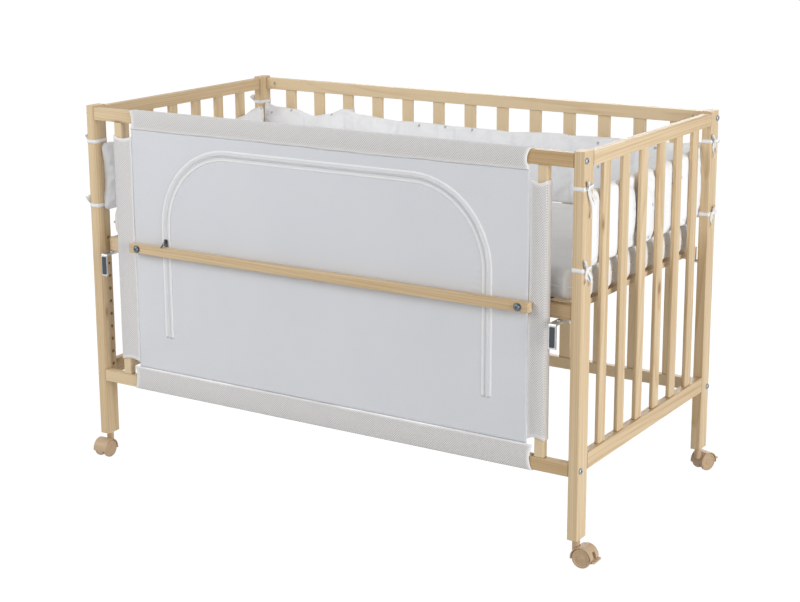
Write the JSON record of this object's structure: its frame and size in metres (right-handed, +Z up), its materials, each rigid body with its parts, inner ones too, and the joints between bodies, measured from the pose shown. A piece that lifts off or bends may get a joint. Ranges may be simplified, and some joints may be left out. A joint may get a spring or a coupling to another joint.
{
  "type": "bedside sleeper crib",
  "caption": "Slatted wooden bedside crib on swivel casters, with a zipped mesh front, steel bed hooks, a mattress and a quilted bumper.",
  "frame": {"origin": "on the floor under the middle of the crib", "axes": "+X along the crib to the right as seen from the parents' bed, +Y to the slatted back, +Z up"},
  "size_m": [1.3196, 0.7204, 0.834],
  "materials": {
    "pale_wood": "satin",
    "sleeve_fabric": "matte",
    "fine_mesh": "matte",
    "zip_fabric": "matte",
    "zip_nylon": "satin",
    "dark_metal": "satin",
    "mattress_cover": "matte",
    "bumper_cotton": "matte",
    "ribbon": "matte",
    "zinc_steel": "zinc plated",
    "black_rubber": "matte",
    "tan_plastic": "satin",
    "tan_wheel": "satin"
  },
  "bodies": {
    "frame": {"back_bottom_rail": "pale_wood", "back_slats": "pale_wood", "back_top_rail": "pale_wood", "barrel_nuts": "zinc_steel", "base_back_rail": "pale_wood", "base_end_rails": "pale_wood", "base_front_rail": "pale_wood", "base_pins": "zinc_steel", "base_slats": "pale_wood", "bed_brackets": "zinc_steel", "bracket_pads": "black_rubber", "bracket_screws": "zinc_steel", "bumper_back": "bumper_cotton", "bumper_left": "bumper_cotton", "bumper_right": "bumper_cotton", "bumper_ties": "ribbon", "caster_sockets": "tan_plastic", "cover_sleeve_bottom": "sleeve_fabric", "cover_sleeve_left": "sleeve_fabric", "cover_sleeve_right": "sleeve_fabric", "cover_sleeve_top": "sleeve_fabric", "cross_bar": "pale_wood", "cross_bar_bolts": "zinc_steel", "end_bottom_rails": "pale_wood", "end_slats_left": "pale_wood", "end_slats_right": "pale_wood", "end_top_rails": "pale_wood", "frame_bolts": "zinc_steel", "front_bottom_rail": "pale_wood", "front_dowels": "pale_wood", "front_top_rail": "pale_wood", "front_uprights": "pale_wood", "mattress": "mattress_cover", "mesh_panel": "fine_mesh", "post_back_left": "pale_wood", "post_back_right": "pale_wood", "post_front_left": "pale_wood", "post_front_right": "pale_wood", "zip_coil": "zip_nylon", "zip_tape": "zip_fabric"},
    "caster_front_left": {"caster_front_left_housing": "tan_plastic", "caster_front_left_stem_and_axle": "zinc_steel"},
    "caster_front_left_wheel_a": {"caster_front_left_wheel_a": "tan_wheel"},
    "caster_front_left_wheel_b": {"caster_front_left_wheel_b": "tan_wheel"},
    "caster_front_right": {"caster_front_right_housing": "tan_plastic", "caster_front_right_stem_and_axle": "zinc_steel"},
    "caster_front_right_wheel_a": {"caster_front_right_wheel_a": "tan_wheel"},
    "caster_front_right_wheel_b": {"caster_front_right_wheel_b": "tan_wheel"},
    "caster_front_right_brake": {"caster_front_right_brake": "tan_plastic"},
    "caster_back_left": {"caster_back_left_housing": "tan_plastic", "caster_back_left_stem_and_axle": "zinc_steel"},
    "caster_back_left_wheel_a": {"caster_back_left_wheel_a": "tan_wheel"},
    "caster_back_left_wheel_b": {"caster_back_left_wheel_b": "tan_wheel"},
    "caster_back_right": {"caster_back_right_housing": "tan_plastic", "caster_back_right_stem_and_axle": "zinc_steel"},
    "caster_back_right_wheel_a": {"caster_back_right_wheel_a": "tan_wheel"},
    "caster_back_right_wheel_b": {"caster_back_right_wheel_b": "tan_wheel"},
    "caster_back_right_brake": {"caster_back_right_brake": "tan_plastic"},
    "zip_slider": {"zip_slider": "dark_metal"},
    "zip_pull": {"zip_pull": "dark_metal"}
  },
  "joints": [
    {"name": "caster_front_left_swivel", "type": "hinge", "parent": "frame", "child": "caster_front_left", "pos_m": [-0.614, -0.3125, 0.056], "axis": [0, 0, 1], "continuous": true},
    {"name": "caster_front_left_wheel_a_roll", "type": "hinge", "parent": "caster_front_left", "child": "caster_front_left_wheel_a", "pos_m": [-0.61335, -0.33099, 0.0205], "axis": [0.9994, 0.0349, 0], "continuous": true},
    {"name": "caster_front_left_wheel_b_roll", "type": "hinge", "parent": "caster_front_left", "child": "caster_front_left_wheel_b", "pos_m": [-0.61335, -0.33099, 0.0205], "axis": [0.9994, 0.0349, 0], "continuous": true},
    {"name": "caster_front_right_swivel", "type": "hinge", "parent": "frame", "child": "caster_front_right", "pos_m": [0.614, -0.3125, 0.056], "axis": [0, 0, 1], "continuous": true},
    {"name": "caster_front_right_wheel_a_roll", "type": "hinge", "parent": "caster_front_right", "child": "caster_front_right_wheel_a", "pos_m": [0.6325, -0.3125, 0.0205], "axis": [0, 1, 0], "continuous": true},
    {"name": "caster_front_right_wheel_b_roll", "type": "hinge", "parent": "caster_front_right", "child": "caster_front_right_wheel_b", "pos_m": [0.6325, -0.3125, 0.0205], "axis": [0, 1, 0], "continuous": true},
    {"name": "caster_front_right_brake_press", "type": "hinge", "parent": "caster_front_right", "child": "caster_front_right_brake", "pos_m": [0.6325, -0.3125, 0.0205], "axis": [0, 1, 0], "range_deg": [-18, 0]},
    {"name": "caster_back_left_swivel", "type": "hinge", "parent": "frame", "child": "caster_back_left", "pos_m": [-0.614, 0.3125, 0.056], "axis": [0, 0, 1], "continuous": true},
    {"name": "caster_back_left_wheel_a_roll", "type": "hinge", "parent": "caster_back_left", "child": "caster_back_left_wheel_a", "pos_m": [-0.63243, 0.31089, 0.0205], "axis": [0.0872, -0.9962, 0], "continuous": true},
    {"name": "caster_back_left_wheel_b_roll", "type": "hinge", "parent": "caster_back_left", "child": "caster_back_left_wheel_b", "pos_m": [-0.63243, 0.31089, 0.0205], "axis": [0.0872, -0.9962, 0], "continuous": true},
    {"name": "caster_back_right_swivel", "type": "hinge", "parent": "frame", "child": "caster_back_right", "pos_m": [0.614, 0.3125, 0.056], "axis": [0, 0, 1], "continuous": true},
    {"name": "caster_back_right_wheel_a_roll", "type": "hinge", "parent": "caster_back_right", "child": "caster_back_right_wheel_a", "pos_m": [0.62123, 0.32953, 0.0205], "axis": [-0.9205, 0.3907, 0], "continuous": true},
    {"name": "caster_back_right_wheel_b_roll", "type": "hinge", "parent": "caster_back_right", "child": "caster_back_right_wheel_b", "pos_m": [0.62123, 0.32953, 0.0205], "axis": [-0.9205, 0.3907, 0], "continuous": true},
    {"name": "caster_back_right_brake_press", "type": "hinge", "parent": "caster_back_right", "child": "caster_back_right_brake", "pos_m": [0.62123, 0.32953, 0.0205], "axis": [-0.9205, 0.3907, 0], "range_deg": [0, 18]},
    {"name": "zip_slide", "type": "slide", "parent": "frame", "child": "zip_slider", "axis": [0, 0, 1], "range_m": [0, 0.04]},
    {"name": "zip_pull_hinge", "type": "hinge", "parent": "zip_slider", "child": "zip_pull", "pos_m": [-0.402, -0.3378, 0.5443], "axis": [-1, 0, 0], "range_deg": [0, 110]}
  ]
}
